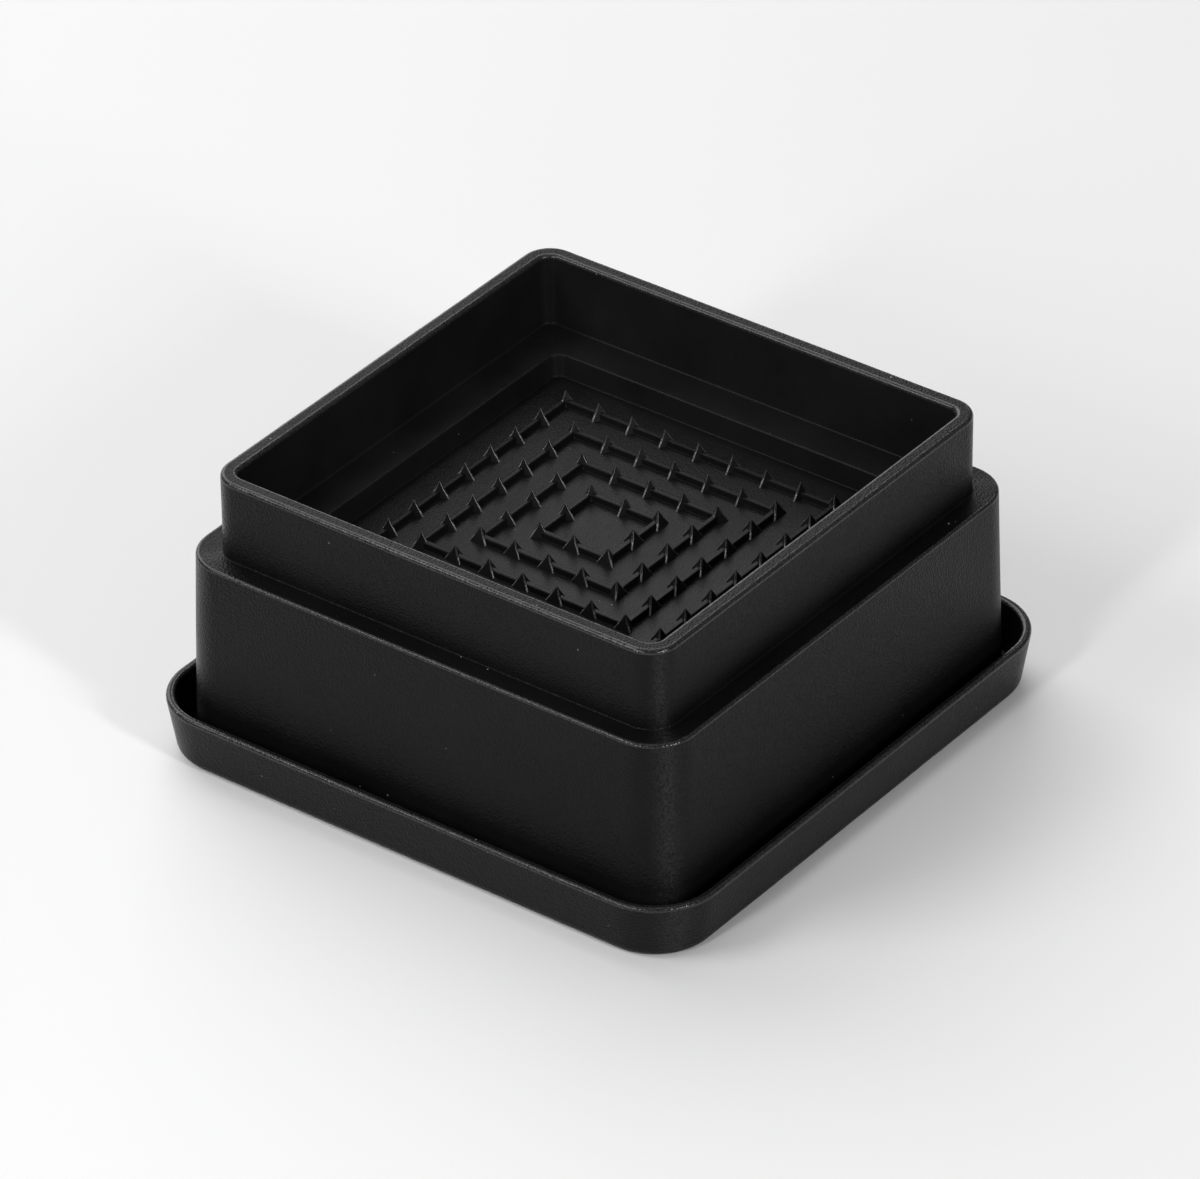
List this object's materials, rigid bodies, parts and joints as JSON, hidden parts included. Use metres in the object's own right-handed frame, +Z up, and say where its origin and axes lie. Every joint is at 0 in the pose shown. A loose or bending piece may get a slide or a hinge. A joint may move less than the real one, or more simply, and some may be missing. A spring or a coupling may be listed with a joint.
{
  "type": "bed riser",
  "caption": "Square stackable furniture riser with an open collar for the leg, a spiked gripping floor, a drafted ribbed skirt and an upturned lip round the foot.",
  "frame": {"origin": "middle of the foot, on the surface that the riser stands on", "axes": "+Z up, out of the open collar; X and Y square to the sides"},
  "size_m": [0.0964, 0.0964, 0.047],
  "materials": {
    "black_plastic": "fine moulded grain, satin on the rims"
  },
  "bodies": {
    "root": {"riser_body": "black_plastic"}
  },
  "joints": []
}
